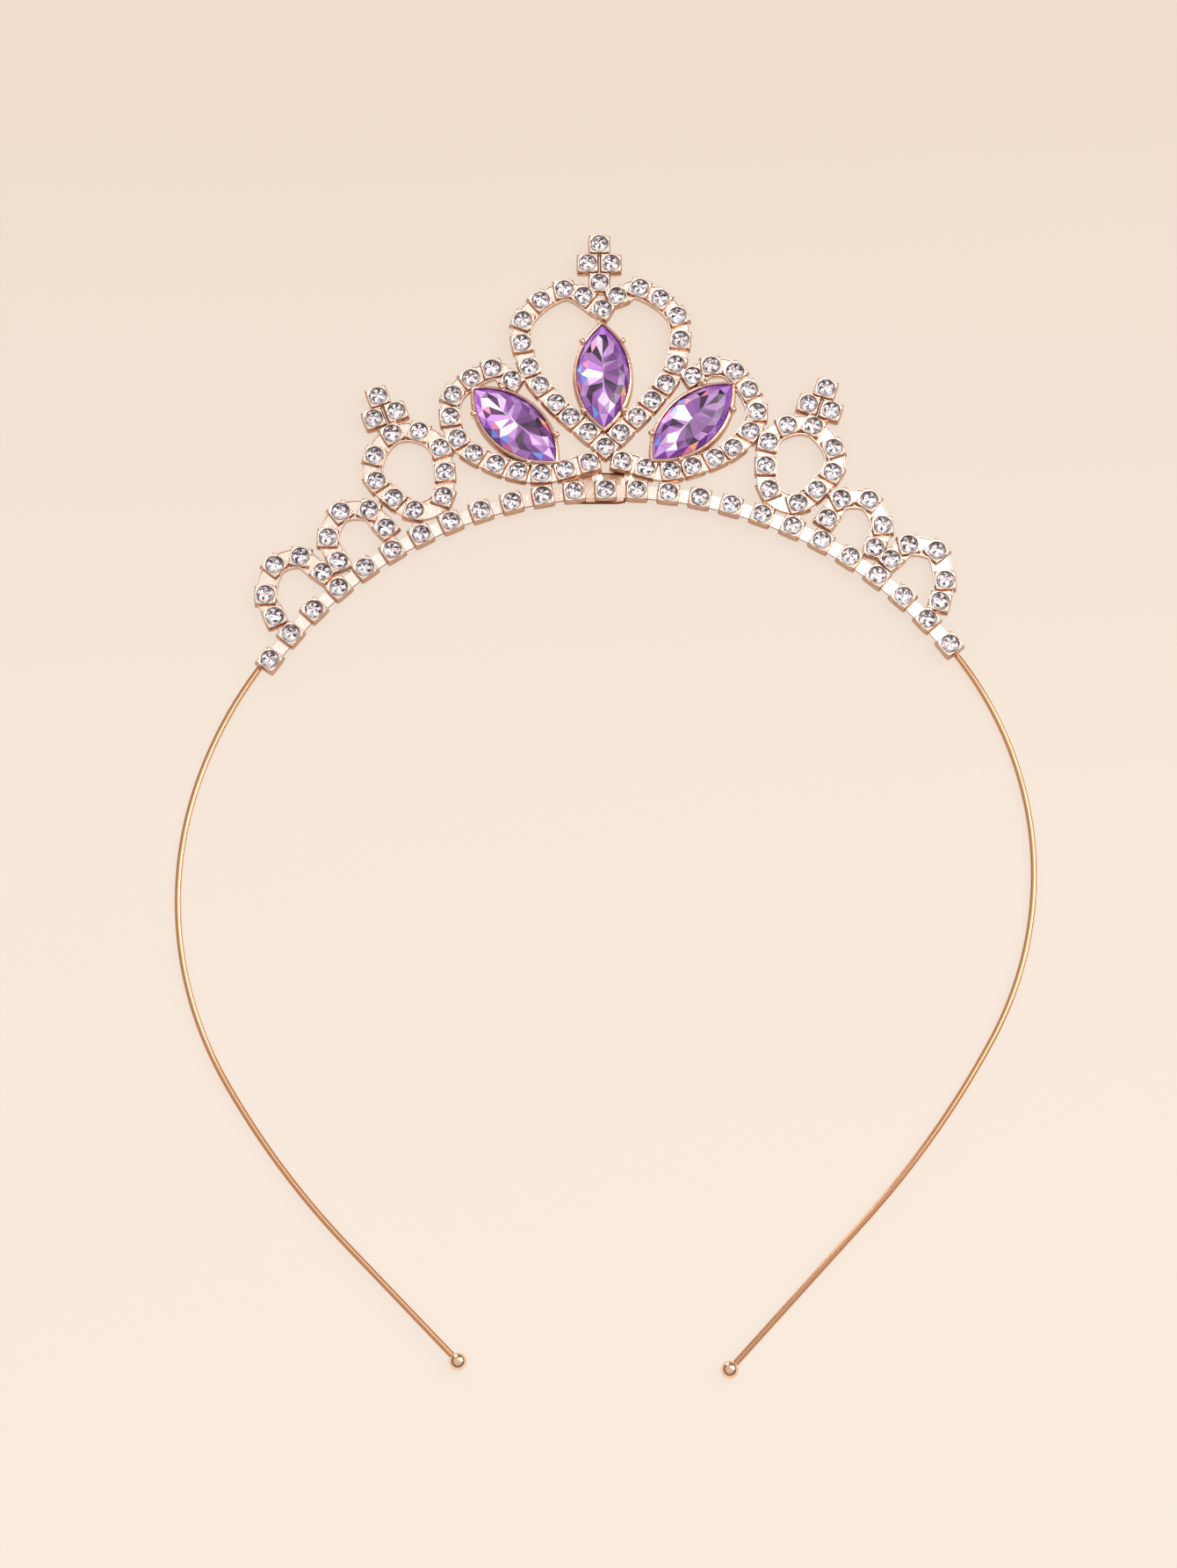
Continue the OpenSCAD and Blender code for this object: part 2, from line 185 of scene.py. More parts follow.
class Finish:
    """The nodes of a material or of the world, which are all added by node()."""

    def __init__(self, owner):
        owner.use_nodes = True
        self.owner = owner
        self.tree = owner.node_tree
        self.tree.nodes.clear()

    def node(self, kind, settings=None, inputs=None, out=0):
        """Adds a node, its settings first and then its inputs, and gives its output, if it has one.

        A ramp's stops are rows of a place and a colour."""
        added = self.tree.nodes.new(kind)
        for key, value in (settings or {}).items():
            if key == "stops":
                stops = added.color_ramp.elements
                for index, (place, colour) in enumerate(value):
                    stop = stops[index] if index < 2 else stops.new(place)
                    stop.position, stop.color = place, (*colour, 1.0)
            else:
                setattr(added, key, value)
        for key, value in (inputs or {}).items():
            if isinstance(value, Value):
                self.tree.links.new(value.socket, added.inputs[key])
            else:
                added.inputs[key].default_value = value
        return Value(self, added.outputs[out]) if len(added.outputs) else added

    def surface(self, inputs):
        """Ends a material in one Principled shader with these inputs, and gives the material."""
        shader = self.node("ShaderNodeBsdfPrincipled", {}, inputs)
        self.node("ShaderNodeOutputMaterial", {}, {"Surface": shader})
        return self.owner


# The plating's uneven tone and its cast grain, as scales of their noise
CLOUD_SCALE = 900.0
GRAIN_SCALE = 3600.0
# How much the roughness varies, how much deeper the wide dents are than the grain, and how both show
ROUGHNESS_SPREAD = 0.14
DENT_DEPTH = 2.0
DENT_STRENGTH = 0.6
# The share of its top tone that the plating keeps at its low height, as painted shade low down, and in the
# painted shade round the middle of the base chain
LOW_SHARE = 0.4
MIDDLE_SHADE_SHARE = 0.2
# How far round the middle of the base chain the painted shade reaches, in metres
SHADE_REACH = 0.024
# Heights under the whole part, for a finish whose tone doesn't change with height
UNDER = (-0.001, 0.0)


def plating(name, top, side, low, high, roughness, grain_depth, uneven=0.55, shade_middle=None):
    """Polished rose gold plating, uneven over about a millimetre, with a finer cast grain.

    Its tone is painted light and shade: it goes from side to top by the square of how far it faces up,
    times a share that grows from LOW_SHARE at the height low to 1 at the height high, so that low places
    get painted shade, more or less by noise times uneven. Round the point given last it falls to a lower
    share of it over a set distance, as painted shade."""
    finish = Finish(bpy.data.materials.new(name))
    place = finish.node("ShaderNodeTexCoord", out="Object")
    height = finish.node("ShaderNodeSeparateXYZ", {}, {"Vector": place}, out="Z")
    direction = finish.node("ShaderNodeNewGeometry", out="Normal")
    facing = finish.node("ShaderNodeSeparateXYZ", {}, {"Vector": direction}, out="Z").held()
    cloud = finish.node("ShaderNodeTexNoise", {}, {"Vector": place, "Scale": CLOUD_SCALE, "Detail": 3.0})
    grain = finish.node("ShaderNodeTexNoise", {}, {"Vector": place, "Scale": GRAIN_SCALE, "Detail": 2.0})
    raised = ((height - low) * (1 / (high - low))).held()
    rise = (facing * facing * (raised * (1 - LOW_SHARE) + LOW_SHARE) + (cloud - 0.5) * uneven).held()
    # Painted shade: the tone falls toward the side tone round a given point
    if shade_middle is not None:
        away = finish.node(
            "ShaderNodeVectorMath", {"operation": "DISTANCE"}, {0: place, 1: shade_middle}, out="Value")
        rise = rise * ((away * (1 / SHADE_REACH)).held() * (1 - MIDDLE_SHADE_SHARE) + MIDDLE_SHADE_SHARE)
    tone = finish.node(
        "ShaderNodeMix", {"data_type": "RGBA"}, {0: rise, 6: (*side, 1), 7: (*top, 1)}, out=2)
    relief = cloud * DENT_DEPTH + grain
    dents = finish.node(
        "ShaderNodeBump", {}, {"Strength": DENT_STRENGTH, "Distance": grain_depth, "Height": relief})
    return finish.surface({
        "Base Color": tone, "Metallic": 1.0, "Roughness": cloud * ROUGHNESS_SPREAD + roughness,
        "Normal": dents})


# Each station (x, y, h) carries a ring of the wire's radius r across the wire. Its point at the
# angle a is (x + r cos a sin h, y + r cos a cos h, r sin a)
ring_angles = np.arange(WIRE_SIDES) * 2 * np.pi / WIRE_SIDES
across = WIRE_R * np.cos(ring_angles)
sines, cosines = np.sin(hoop[:, 2, None]), np.cos(hoop[:, 2, None])
tube = np.stack([
    hoop[:, 0, None] + across * sines, hoop[:, 1, None] + across * cosines,
    WIRE_R * np.sin(ring_angles) + 0 * sines], -1)
rings = np.arange(len(hoop) * WIRE_SIDES).reshape(-1, WIRE_SIDES)
# Painted reflection: the wire's sides are painted lighter than its top, as if they mirrored the pale surface
wire_finish = plating(
    "polished_wire", (0.59, 0.30, 0.16), (0.95, 0.66, 0.47), *UNDER, roughness=0.04,
    grain_depth=0.000002, uneven=0.12)
piece(
    "hoop_wire", laid(tube).reshape(-1, 3), [grid_faces(*rings.shape), rings[:1], rings[-1:]],
    wire_finish, "headband_wire")

# The end balls. Each is a turned and plated ball that is drilled, pushed on the wire's end and glued,
# so that the end doesn't scratch.
BALL_ROWS = 22
BALL_COLS = 32
# The angle left out at each pole and closed by a flat face, in radians
POLE = 0.04


def turned(profile, cols, power=None):
    """A shape of rings round the Z axis, closed by a flat face at both ends: its points and its faces.

    A ring of radius r has the points r (cos a, sin a) / (|cos a|^p + |sin a|^p)^(1/p). Its power p is
    2 for a circle, and a higher one gives a square with rounded corners and sides 2 r long."""
    a = np.arange(cols) * 2 * np.pi / cols
    radius, height = np.array(profile, float)[:, :2].T
    p = np.full(len(radius), 2.0) if power is None else np.array(power, float)
    flat = (np.abs(np.cos(a)) ** p[:, None] + np.abs(np.sin(a)) ** p[:, None]) ** (-1 / p[:, None])
    points = np.stack([
        radius[:, None] * flat * np.cos(a), radius[:, None] * flat * np.sin(a),
        height[:, None] + 0 * flat], -1)
    rings = np.arange(len(radius) * cols).reshape(len(radius), cols)
    return points.reshape(-1, 3), [grid_faces(len(radius), cols), rings[:1], rings[-1:]]


# The ball's rings have the radius R sin a at the height -R cos a, for a from one pole to the other
polar = np.linspace(POLE, np.pi - POLE, BALL_ROWS)
ball, ball_faces = turned(np.stack([BALL_R * np.sin(polar), -BALL_R * np.cos(polar)], 1), BALL_COLS)
# Painted reflection: the ball's sides are painted paler than its top, as if they mirrored the pale surface
ball_finish = plating(
    "polished_ball", (0.74, 0.46, 0.30), (0.99, 0.76, 0.57), *UNDER, roughness=0.04,
    grain_depth=0.000002, uneven=0.10)
for side, end in (("left", left_leg[-1]), ("right", right_leg[-1])):
    piece(
        f"{side}_end_ball", laid(ball + [end[0], end[1], 0]), ball_faces, ball_finish, f"{side}_ball")

# The crown's flat back. It is a pressed strip under every row of cups, with a low lip along both
# edges, bent into scrolls and soldered where the scrolls meet. Its own frame has its origin on the
# base chain's highest point, and its back lies on the wire.
STEPS_A_CUP = 6
# Where the crown's frame lies in the hoop's: outward from its top, and up, with a gap to the wire
CROWN_RISE = 0.15
WIRE_GAP = 0.05
CROWN_LIFT = WIRE_R + WIRE_GAP
# The height of the crown's back over the table, at the hoop's top, in metres
CROWN_BACK = (WIRE_R + CROWN_LIFT) * MM
# The base chain: the way from one cup to the next, how much it grows with each cup outward, how far
# the middle cup stands to the left of the hoop's top, and the number of cups on either side of it
BASE_PITCH = 4.2
BASE_GROWTH = 0.03
BASE_SLIDE = 1.34
BASE_SIDE = 12
# The middle of the plate behind the base chain, from the middle cup
TAB_PLACE = (-1.1, 0.5, 0)
# Routes of the scrolls: x and y from the base cup that the scroll stands over, and the number of
# cups from this point up to the next one
HEART_LEFT = (
    (-0.4, 26.6, 2), (-5.6, 29.5, 2), (-11.2, 24.9, 2), (-10.3, 17.9, 2), (-6.7, 12.6, 3), (0, 6.2, 1))
HEART_RIGHT = (
    (1.6, 28.5, 1), (4.7, 29.7, 2), (9.8, 25.5, 2), (9.5, 18.3, 2), (6.3, 13, 2), (2, 8.2, 1))
LEAF_LEFT = (
    (-12.6, 16, 1), (-15.3, 17.7, 2), (-20.6, 13.8, 2), (-19.9, 7.4, 2), (-14.7, 3.7, 2), (-8.6, 2.3, 2),
    (-2.2, 3.9, 1))
LEAF_RIGHT = (
    (11.8, 16.6, 1), (14.3, 18.1, 1), (17.5, 17.2, 2), (20.4, 11.3, 2), (17.1, 6, 3), (8.8, 2.7, 2),
    (2.2, 4.1, 1))
OVAL_LEFT = (
    (-4.1, 14.6, 1), (-0.5, 14.9, 1), (2.4, 12.5, 2), (2.9, 5.5, 1), (-0.9, 3.5, 2), (-6.1, 7.7, 1),
    (-6.4, 11.4, 1))
OVAL_RIGHT = (
    (3.1, 14.5, 1), (-0.4, 14.6, 1), (-3, 12.2, 2), (-3, 5.3, 1), (0.8, 3.3, 2), (5.5, 7.8, 1),
    (5.7, 11.3, 1))
ARCH_LEFT = ((2.7, 5.7, 1), (0.4, 8.3, 1), (-3.4, 8, 1), (-5, 4.3, 1), (-3.5, 0.9, 1))
ARCH_RIGHT = ((-2.9, 5.5, 1), (-1, 8.3, 1), (2.7, 8.1, 1), (4.4, 4.5, 1), (3.3, 1.3, 1))
END_LEFT = ((4, 8.7, 1), (1, 10.9, 1), (-2.4, 9.7, 1), (-3.5, 5.5, 1), (-2.2, 2.4, 1))
END_RIGHT = ((-4.6, 8.5, 1), (-2.2, 10.6, 1), (1.5, 9.7, 1), (2.5, 5.5, 1), (1.7, 2.5, 1))
# The scrolls: the node of their stones, the base cup they stand over, their route, the side of the
# route that is the inside of the scroll (1 is the left), and whether the scroll is closed
SCROLLS = (
    ("heart_stones", 0, HEART_LEFT, 1, False), ("heart_stones", 0, HEART_RIGHT, -1, False),
    ("left_leaf_stones", 0, LEAF_LEFT, 1, False), ("right_leaf_stones", 0, LEAF_RIGHT, -1, False),
    ("left_oval_stones", -6, OVAL_LEFT, -1, True), ("right_oval_stones", 6, OVAL_RIGHT, 1, True),
    ("left_arch_stones", -8, ARCH_LEFT, 1, False), ("right_arch_stones", 8, ARCH_RIGHT, -1, False),
    ("left_end_stones", -11, END_LEFT, 1, False), ("right_end_stones", 11, END_RIGHT, -1, False))
# Cross sections: the distance from the strip's middle toward the inside of the scroll, and the height.
# A scroll's strip has a lip along both edges, and its floor reaches about half way up the cups
SCROLL_STRIP = (
    (-1.20, 0.02), (1.46, 0.02), (1.52, 0.10), (1.52, 0.76), (1.47, 0.84), (1.38, 0.84), (1.33, 0.76),
    (1.30, 0.62), (-1.04, 0.62), (-1.07, 0.70), (-1.12, 0.75), (-1.20, 0.75), (-1.26, 0.68), (-1.26, 0.08))
BASE_STRIP = (
    (-0.90, 0.02), (0.90, 0.02), (0.98, 0.08), (0.98, 0.26), (0.92, 0.33), (-0.92, 0.33), (-0.98, 0.26),
    (-0.98, 0.08))


def on_crown(points):
    """Points of the crown's frame in mm, as the part lies, in metres."""
    return laid(np.asarray(points) + [0, CROWN_RISE, CROWN_LIFT])


def above_back(low, high):
    """Two heights above the crown's back, in mm, as heights over the table, in metres."""
    return CROWN_BACK + low * MM, CROWN_BACK + high * MM


def base_cup(count):
    """Places of the base chain's cups, counted from the middle one, as rows of x, y and heading.

    The way from the middle cup grows by the pitch and a little more for each cup, along the arc."""
    count = np.asarray(count, float)
    way = count * BASE_PITCH + BASE_GROWTH * count * (np.abs(count) - 1) / 2
    turn = (way - BASE_SLIDE) / BAND_R
    return np.stack([BAND_R * np.sin(turn), BAND_R * (np.cos(turn) - 1), -turn], -1)


def scroll(foot, route, closed, steps=1):
    """Places along a scroll, steps of them from one cup to the next, as rows of x, y and heading.

    Between the points b and c, with neighbours a and d, the curve is
    (2b + (c - a) t + (2a - 5b + 4c - d) t^2 + (3b - 3c + d - a) t^3) / 2 for t from 0 to 1.
    Past an open scroll's ends the last step is repeated."""
    route = np.array(route, float)
    knots = route[:, :2]
    if closed:
        knots = np.concatenate([knots[-1:], knots, knots[:2]])
    else:
        after = 2 * knots[-1] - knots[-2]
        knots = np.array([2 * knots[0] - knots[1], *knots, after, 2 * after - knots[-1]])
    places = []
    for index, cups in enumerate(route[:, 2]):
        a, b, c, d = knots[index:index + 4]
        count = 1 if index == len(route) - 1 and not closed else int(cups) * steps
        t = (np.arange(count) / count)[:, None]
        square, cube = 2 * a - 5 * b + 4 * c - d, 3 * b - 3 * c + d - a
        p = (2 * b + (c - a) * t + square * t ** 2 + cube * t ** 3) / 2
        v = (c - a) + 2 * square * t + 3 * cube * t ** 2
        places.append(np.concatenate([p, np.arctan2(v[:, 1:], v[:, :1])], 1))
    return np.concatenate(places) + [*base_cup(foot)[:2], 0]


def strip(places, section, side=1, closed=False):
    """A cross section carried along places: its points and its faces. An open strip gets flat ends.

    At the place (x, y, h) its point at the distance d and the height z is (x - d sin h, y + d cos h, z)."""
    section = np.array(section)
    x, y, heading = places.T[:, :, None]
    d = side * section[:, 0]
    points = np.stack([x - d * np.sin(heading), y + d * np.cos(heading), section[:, 1] + 0 * x], -1)
    rings = np.arange(points.size // 3).reshape(points.shape[:2])
    faces = [grid_faces(*rings.shape, closed=closed)]
    return points.reshape(-1, 3), faces if closed else faces + [rings[:1], rings[-1:]]


chain = base_cup(np.arange(-BASE_SIDE, BASE_SIDE + 1))
base_line = base_cup(np.linspace(-BASE_SIDE, BASE_SIDE, 2 * BASE_SIDE * STEPS_A_CUP + 1))
# Painted shade: the strips are painted darker low down and on their sides, lighter on top
strip_finish = plating(
    "pressed_strip", (0.94, 0.78, 0.68), (0.67, 0.45, 0.34), *above_back(-0.3, 0.4),
    roughness=0.14, grain_depth=0.00003)
points, faces = joined(
    strip(scroll(foot, route, closed, STEPS_A_CUP), SCROLL_STRIP, side, closed)
    for node, foot, route, side, closed in SCROLLS)
piece("scroll_strips", on_crown(points), faces, strip_finish, "crown_frame")
middle_cup = base_cup(0)[:2]
tab_middle = [*middle_cup, 0] + np.array(TAB_PLACE)
# Painted shade: the base strip is painted darker round its middle and near white toward its ends, as if lit
# brighter there
base_finish = plating(
    "base_strip", (1.0, 0.89, 0.81), (0.50, 0.36, 0.29), *above_back(-0.3, 0.3),
    roughness=0.12, grain_depth=0.00002, shade_middle=tuple(on_crown(tab_middle)))
points, faces = strip(base_line, BASE_STRIP)
piece("base_strip", on_crown(points), faces, base_finish, "crown_frame")

# The plate behind the middle of the base chain. It is a plain tab that is soldered to the wire to
# carry the crown. Its darker tone is painted shade, and a dark sheet round its edge is painted shade where
# it lies low behind the cups.
TAB_L = 7.5
TAB_W = 4.0
TAB_T = 0.3
TAB_COLS = 32
TAB_SQUARENESS = 9
# How far the dark sheet of painted shade stands out round the tab, and how much lower it is
TAB_EDGE = 0.24
EDGE_DROP = 0.06
# Painted shade: the tab is painted darker than the strips, and the sheet round it darker still
tab_finish = plating(
    "soldered_tab", (0.80, 0.58, 0.45), (0.62, 0.40, 0.28), *above_back(-0.3, 0.3),
    roughness=0.18, grain_depth=0.00003)
shade_edge_finish = plating(
    "painted_shade_edge", (0.22, 0.07, 0.035), (0.12, 0.035, 0.015), *above_back(0, 0.6),
    roughness=0.30, grain_depth=0.00001)
for name, grow, top, finish in (
        ("middle_tab", 0, TAB_T, tab_finish), ("tab_shade_sheet", TAB_EDGE, TAB_T - EDGE_DROP, shade_edge_finish)):
    # From the foot up, with small bevels: the share of half the side, and the height
    tab_profile = ((0.97, 0.02), (1, 0.06), (1, top - 0.05), (0.97, top))
    tab, tab_faces = turned(tab_profile, TAB_COLS, [TAB_SQUARENESS] * len(tab_profile))
    tab = tab * [TAB_L / 2 + grow, TAB_W / 2 + grow, 1] + tab_middle
    piece(name, on_crown(tab), tab_faces, finish, "crown_frame")

# The square cups. Each is a small cast box that narrows upward, with a round hole for its stone and
# a grain of metal on each corner, pushed over the stone's edge. They are soldered on the strips in
# rows, and three or four of them side by side make each cross.
CUP_W = 2.9
# The crosses: the slit between the two side cups, the foot of the middle cross from the middle cup
# of the base chain, and the lean of the other two in degrees
CROSS_SLIT = 0.26
CROSS_FOOT = (-0.8, 30.5)
LEFT_LEAN = 20
RIGHT_LEAN = -18
# From the foot up over the rim and down to the seat: half the side, the height, and the squareness
CUP_ROWS = (
    (1.50, 0.02, 14), (1.51, 0.58, 14), (1.44, 0.66, 14), (1.37, 1.02, 12), (1.34, 1.14, 10),
    (1.28, 1.19, 9), (1.23, 1.18, 2.4), (1.20, 1.10, 2), (1.19, 0.34, 2))
CUP_COLS = 24
# A corner grain: its radius, the way of its middle from the cup's along each side, and its height
GRAIN_R = 0.23
GRAIN_OUT = 1.17
GRAIN_Z = 1.08
GRAIN_ROWS = 5
GRAIN_COLS = 8
GRAIN_POLE = 0.3


def cross(foot, lean, whole):
    """Places of a cross's cups: the two side cups are one row up and the top cup is two rows up.

    They are turned by the lean in degrees round the foot, which has a cup of its own if whole."""
    half = (CUP_W + CROSS_SLIT) / 2
    x, y = np.array([(0, 0), (-half, CUP_W), (half, CUP_W), (0, 2 * CUP_W)][0 if whole else 1:], float).T
    turn = np.radians(lean)
    return np.stack([
        foot[0] + x * np.cos(turn) - y * np.sin(turn), foot[1] + x * np.sin(turn) + y * np.cos(turn),
        turn + 0 * x], 1)


def copies(shape, places):
    """A small shape at every place: the points and the faces.

    At the place (x, y, h) the point (u, v, z) is (x + u cos h - v sin h, y + u sin h + v cos h, z)."""
    points, faces = shape
    x, y, heading = places.T[:, :, None]
    c, s = np.cos(heading), np.sin(heading)
    spread = np.stack([
        x + c * points[:, 0] - s * points[:, 1], y + s * points[:, 0] + c * points[:, 1],
        points[:, 2] + 0 * x], -1)
    starts = len(points) * np.arange(len(places))[:, None, None]
    return spread.reshape(-1, 3), [(group[None] + starts).reshape(-1, group.shape[1]) for group in faces]


rows_of_cups = {"base_stones": [chain]}
for node, foot, route, side, closed in SCROLLS:
    rows_of_cups.setdefault(node, []).append(scroll(foot, route, closed))
rows_of_cups["centre_cross_stones"] = [cross(middle_cup + CROSS_FOOT, 0, True)]
rows_of_cups["left_cross_stones"] = [cross(rows_of_cups["left_oval_stones"][0][0], LEFT_LEAN, False)]
rows_of_cups["right_cross_stones"] = [cross(rows_of_cups["right_oval_stones"][0][0], RIGHT_LEAN, False)]
cups = {node: np.concatenate(rows) for node, rows in rows_of_cups.items()}
all_cups = np.concatenate(list(cups.values()))

cup_profile = np.array(CUP_ROWS)
cup = turned(cup_profile[:, :2], CUP_COLS, cup_profile[:, 2])
polar = np.linspace(GRAIN_POLE, np.pi - GRAIN_POLE, GRAIN_ROWS)
grain, grain_faces = turned(
    np.stack([GRAIN_R * np.sin(polar), GRAIN_Z - GRAIN_R * np.cos(polar)], 1), GRAIN_COLS)
grains = joined([(grain + [x * GRAIN_OUT, y * GRAIN_OUT, 0], grain_faces) for x in (-1, 1) for y in (-1, 1)])
# Painted shade: the cups are painted darker low down and on their walls, lighter on their tops
cup_finish = plating(
    "cast_cups", (0.95, 0.80, 0.70), (0.57, 0.35, 0.24), *above_back(0.3, 1.0),
    roughness=0.13, grain_depth=0.00003)
points, faces = copies(cup, all_cups)
piece("square_cups", on_crown(points), faces, cup_finish, "crown_frame")
points, faces = copies(grains, all_cups)
piece("corner_grains", on_crown(points), faces, cup_finish, "crown_frame")

# The settings of the three pointed stones. Each is a pressed collar with a double rim and four
# prongs, with a bead on each, on a thin floor, soldered between the scrolls.
NAVETTE_L = 15.0
NAVETTE_W = 7.0
FLANK_R = (NAVETTE_L ** 2 + NAVETTE_W ** 2) / (4 * NAVETTE_W)
FLANK_X = FLANK_R - NAVETTE_W / 2
# Each seat: x and y from the middle cup of the base chain, and the stone's lean in degrees
SEATS = np.array(((-0.3, 16.4, 1), (-12.15, 9.25, 46.5), (11.7, 9.7, -44.5)))
# A prong stands this far from the stone's middle along it, and this far out from its edge
PRONG_ALONG = 5.1
PRONG_OUT = 0.56
# The collar's cross section: the distance out from the stone's edge, and the height
COLLAR = (
    (0.06, 0.02), (0.06, 1.30), (0.09, 1.44), (0.16, 1.50), (0.23, 1.46), (0.27, 1.34), (0.31, 1.30),
    (0.36, 1.34), (0.44, 1.40), (0.51, 1.34), (0.56, 1.20), (0.57, 0.30), (0.60, 0.24), (0.60, 0.02))
# The heights of the thin floor's bottom and top
SETTING_FLOOR = (0.03, 0.28)
FLANK_STEPS = 22
PRONG_COLS = 12
# A prong with its bead, from the foot up: its radius and its height
PRONG = (
    (0.30, 0.02), (0.32, 1.12), (0.42, 1.26), (0.47, 1.42), (0.475, 1.52), (0.44, 1.68), (0.35, 1.81),
    (0.22, 1.91), (0.06, 1.96))


def lens(steps, grow=0.0, half=0.0):
    """The outline of a pointed stone, as 2 steps points (x, y) from its lower tip, counterclockwise.

    Each flank is an arc of radius R + grow about a centre X off the axis, from one tip to the
    other, with R and X such that the stone has its length and width when grow is 0. half shifts
    the points by that share of a step."""
    turn = np.arccos(FLANK_X / (FLANK_R + grow)) * (2 * (np.arange(steps) + half) / steps - 1)
    flank = np.stack([(FLANK_R + grow) * np.cos(turn) - FLANK_X, (FLANK_R + grow) * np.sin(turn)], 1)
    return np.concatenate([flank, -flank])


seats = SEATS * [1, 1, np.pi / 180] + [*middle_cup, 0]
collar = np.array([np.insert(lens(FLANK_STEPS, grow), 2, z, axis=1) for grow, z in COLLAR])
collar_faces = [grid_faces(*collar.shape[:2], closed=True)]
floor_edge = lens(FLANK_STEPS, COLLAR[0][0])
floor_plate = np.array([np.insert(floor_edge, 2, z, axis=1) for z in SETTING_FLOOR])
rings = np.arange(2 * len(floor_edge)).reshape(2, -1)
floor_faces = [grid_faces(*rings.shape), rings[:1], rings[1:]]
prong_x = np.sqrt((FLANK_R + PRONG_OUT) ** 2 - PRONG_ALONG ** 2) - FLANK_X
prong_feet = np.array([(x * prong_x, y * PRONG_ALONG, 0) for x in (-1, 1) for y in (-1, 1)])
points, faces = copies(joined([(collar, collar_faces), (floor_plate, floor_faces)]), seats)
piece("pointed_settings", on_crown(points), faces, cup_finish, "crown_frame")
# The prongs and their beads take the ball's finish, with its painted reflection
points, faces = copies(copies(turned(PRONG, PRONG_COLS), prong_feet), seats)
piece("setting_prongs", on_crown(points), faces, ball_finish, "crown_frame")

# The solder. Small smooth drops join the scrolls where they come close to each other, to the base
# chain and to the tips of the settings.
DROP_COLS = 12
# A drop, from the foot up: its radius and its height
DROP = ((0.80, 0.02), (0.85, 0.2), (0.75, 0.34), (0.4, 0.40), (0.1, 0.41))


def bridge(one, other):
    """The middle of the shortest way from a place of one group to a place of the other, at height 0."""
    a, b = np.atleast_2d(one)[:, :2], np.atleast_2d(other)[:, :2]
    ways = np.linalg.norm(a[:, None] - b[None], axis=-1)
    i, j = np.unravel_index(ways.argmin(), ways.shape)
    return [*(a[i] + b[j]) / 2, 0]


def tips(seat):
    """The two tips of a pointed stone, half its length from the seat's middle along its lean."""
    reach = NAVETTE_L / 2 * np.array([-np.sin(seat[2]), np.cos(seat[2])])
    return [seat[:2] + reach, seat[:2] - reach]


drops = []
for side in ("left", "right"):
    leaf, oval, arch, end, top = (
        cups[f"{side}_{name}_stones"] for name in ("leaf", "oval", "arch", "end", "cross"))
    drops += [bridge(loop[at], chain) for loop in (arch, end) for at in (0, -1)]
    drops += [bridge(leaf[at], cups["heart_stones"]) for at in (0, -1)]
    drops += [bridge(leaf[-1], chain), bridge(oval, leaf), bridge(oval, chain), bridge(arch, end)]
    drops += [bridge(top[0], oval), bridge(top[1], oval)]
for seat, node in zip(seats, ("heart_stones", "left_leaf_stones", "right_leaf_stones")):
    drops += [bridge(tip, cups[node]) for tip in tips(seat)]
points, faces = copies(turned(DROP, DROP_COLS), np.array(drops))
piece("solder_drops", on_crown(points), faces, strip_finish, "crown_frame")

# The round stones. They are clear glass, cut with a table and three belts of facets and backed with
# foil. The bright and dark spokes of the bottom facets are painted reflections in the facets' colour.
STONE_R = 1.175
# The height of the widest line, the top's height over it, and the height at which the bottom ends
STONE_GIRDLE = 1.08
STONE_TOP = 0.4
SEAT_FLOOR = 0.36
# Corners of each ring on half the stone's outline
STONE_STEPS = 5
# Each ring of corners: its share of the stone's width and length, and of its top's height
STONE_RINGS = ((0.30, 0.30, 1.0), (0.60, 0.60, 1.0), (0.84, 0.84, 0.52), (1.0, 1.0, 0.0))
# The groups of triangles count from the table outward, two for each belt, and this one is the
# first of the outermost belt
OUTER_BELT = 5
# How steep the foil under a facet is, and how much steeper it is under every other one
FOIL_SLOPE = 0.30
SLOPE_CHANGE = 0.22
# The foil: the scale of its cloudy sheen, how much its roughness varies, and a faint painted glow of
# the facet tones, which stands in for the light that cut glass gathers
FOIL_SCALE = 1500.0
FOIL_SPREAD = 0.1
PAINTED_STONE_GLOW = 0.25
GLASS_IOR = 1.55
# Tones of the foiled facets, from dark to bright, as painted reflections of light and shade
CLEAR_TONES = (
    (0.03, 0.025, 0.03), (0.16, 0.12, 0.14), (0.55, 0.48, 0.50), (0.93, 0.91, 0.94), (1.0, 1.0, 1.0))
# How light the inner facets are painted, from 0 to 1: in the middle, how much painted shade darkens
# them upward, how much every other one differs as a painted dark spoke, and how much is chance. Then the
# same for the outermost belt
INNER_LIGHT = 0.42
INNER_FALL = 0.30
SPOKE = 0.28
INNER_CHANCE = 0.8
RIM_LIGHT = 0.44
RIM_FALL = 0.2
RIM_CHANCE = 0.6
# Painted glints of colour, where a draw from 0 to 1 is above the first share or under the second
PALE_PINK = (0.80, 0.52, 0.54)
PALE_BLUE = (0.55, 0.62, 0.92)
PINK_ABOVE = 0.95
BLUE_UNDER = 0.02


def circle(steps, half=0.0):
    """The outline of a round stone: the points (R cos a, R sin a) at 2 steps even angles a.

    half shifts them by that share of a step."""
    a = (np.arange(2 * steps) + half) * np.pi / steps
    return STONE_R * np.stack([np.cos(a), np.sin(a)], 1)


